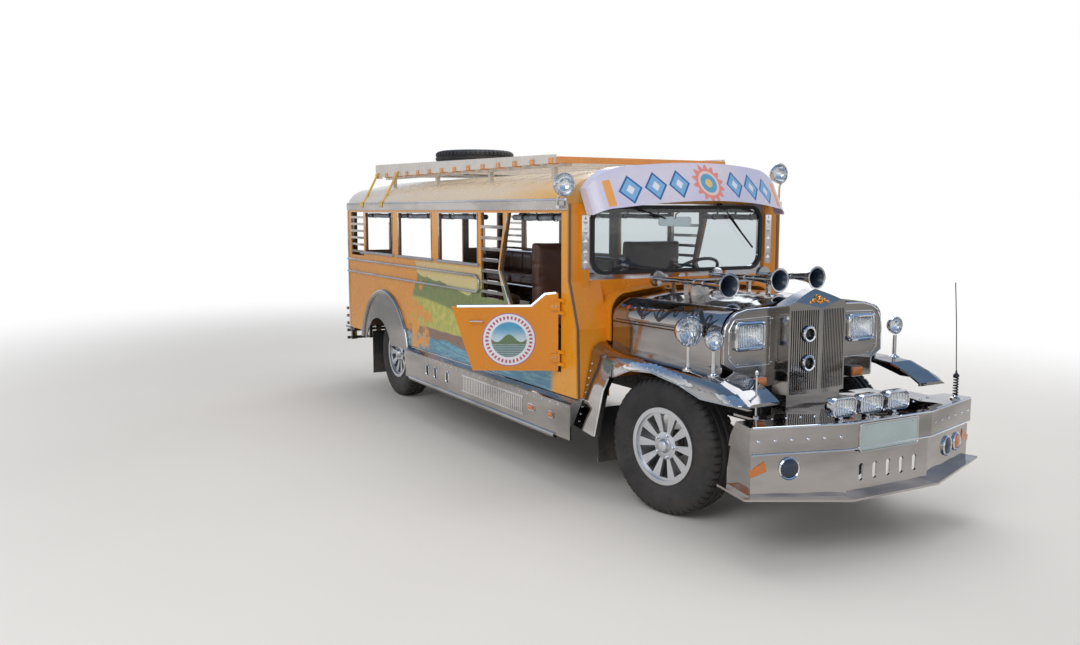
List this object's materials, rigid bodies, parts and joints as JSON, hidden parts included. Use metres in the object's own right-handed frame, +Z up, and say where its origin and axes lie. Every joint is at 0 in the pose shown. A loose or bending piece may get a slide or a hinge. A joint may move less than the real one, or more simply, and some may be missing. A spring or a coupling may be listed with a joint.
{
  "type": "long-bodied passenger jeepney",
  "caption": "Open-sided passenger vehicle with a bright metal nose, side-facing benches, half doors, turning and steering wheels, an opening hood and a loaded roof rack.",
  "frame": {"origin": "on the ground, on the centreline, below the front axle", "axes": "+X forward, +Y to the vehicle's left, +Z up"},
  "size_m": [6.697, 2.6137, 2.4502],
  "materials": {
    "painted_steel": "gloss orange enamel",
    "roof_paint": "cream enamel",
    "chrome": "mirror polished stainless sheet",
    "frame_steel": "black chassis paint",
    "cast_iron": "as cast",
    "floor_plate": "chequered plate",
    "glass": "clear",
    "lamp_glass": "clear lens",
    "rubber": "matt",
    "tyre": "matt",
    "wheel_alloy": "silver",
    "upholstery": "vinyl",
    "trim_plastic": "grained",
    "curtain_cloth": "coated sheet"
  },
  "bodies": {
    "body": {"chassis_rails": "frame_steel", "cross_members": "frame_steel", "engine_block": "cast_iron", "drive_shaft": "frame_steel", "front_axle": "frame_steel", "rear_axle": "frame_steel", "leaf_springs": "frame_steel", "floor": "floor_plate", "body_sides": "painted_steel", "rear_wall": "painted_steel", "cowl": "painted_steel", "windshield_frame": "chrome", "windshield_glass": "glass", "visor": "roof_paint", "roof": "roof_paint", "side_trim": "chrome", "louvres": "chrome", "rear_arches": "chrome", "running_boards": "chrome", "front_fenders": "chrome", "mudflaps": "rubber", "grille_shell": "chrome", "lamps": "lamp_glass", "front_bumper": "chrome", "rear_bumper": "chrome", "seats": "upholstery", "dashboard": "trim_plastic", "steering_wheel": "trim_plastic", "curtains": "curtain_cloth", "roof_rack": "roof_paint", "spare_tyre": "tyre"},
    "right_knuckle": {"knuckle_right": "frame_steel"},
    "left_knuckle": {"knuckle_left": "frame_steel"},
    "front_right_wheel": {"tyre_front_right": "tyre", "rim_front_right": "wheel_alloy"},
    "front_left_wheel": {"tyre_front_left": "tyre", "rim_front_left": "wheel_alloy"},
    "rear_right_wheel": {"tyre_rear_right": "tyre", "rim_rear_right": "wheel_alloy"},
    "rear_left_wheel": {"tyre_rear_left": "tyre", "rim_rear_left": "wheel_alloy"},
    "right_door": {"door_right": "painted_steel"},
    "left_door": {"door_left": "painted_steel"},
    "hood_lid": {"hood": "chrome", "air_horns": "chrome"}
  },
  "joints": [
    {"name": "right_steer", "type": "hinge", "parent": "body", "child": "right_knuckle", "pos_m": [0, -0.59, 0.425], "axis": [0, 0, 1], "range_deg": [-37, 13]},
    {"name": "left_steer", "type": "hinge", "parent": "body", "child": "left_knuckle", "pos_m": [0, 0.59, 0.425], "axis": [0, 0, 1], "range_deg": [-37, 13]},
    {"name": "front_right_spin", "type": "hinge", "parent": "right_knuckle", "child": "front_right_wheel", "pos_m": [0.0104, -0.63891, 0.425], "axis": [-0.2079, 0.9781, 0], "continuous": true},
    {"name": "front_left_spin", "type": "hinge", "parent": "left_knuckle", "child": "front_left_wheel", "pos_m": [-0.0104, 0.63891, 0.425], "axis": [-0.2079, 0.9781, 0], "continuous": true},
    {"name": "rear_right_spin", "type": "hinge", "parent": "body", "child": "rear_right_wheel", "pos_m": [-4.45, -0.64, 0.425], "axis": [0, 1, 0], "continuous": true},
    {"name": "rear_left_spin", "type": "hinge", "parent": "body", "child": "rear_left_wheel", "pos_m": [-4.45, 0.64, 0.425], "axis": [0, 1, 0], "continuous": true},
    {"name": "right_door_hinge", "type": "hinge", "parent": "body", "child": "right_door", "pos_m": [-0.862, -0.946, 1], "axis": [0, 0, 1], "range_deg": [-60, 20]},
    {"name": "left_door_hinge", "type": "hinge", "parent": "body", "child": "left_door", "pos_m": [-0.862, 0.946, 1], "axis": [0, 0, -1], "range_deg": [0, 80]},
    {"name": "hood_hinge", "type": "hinge", "parent": "body", "child": "hood_lid", "pos_m": [-0.58, 0, 1.335], "axis": [0, -1, 0], "range_deg": [0, 42]}
  ],
  "couplings": [
    {"joint": "left_steer", "follows": "right_steer", "ratio": 1}
  ]
}
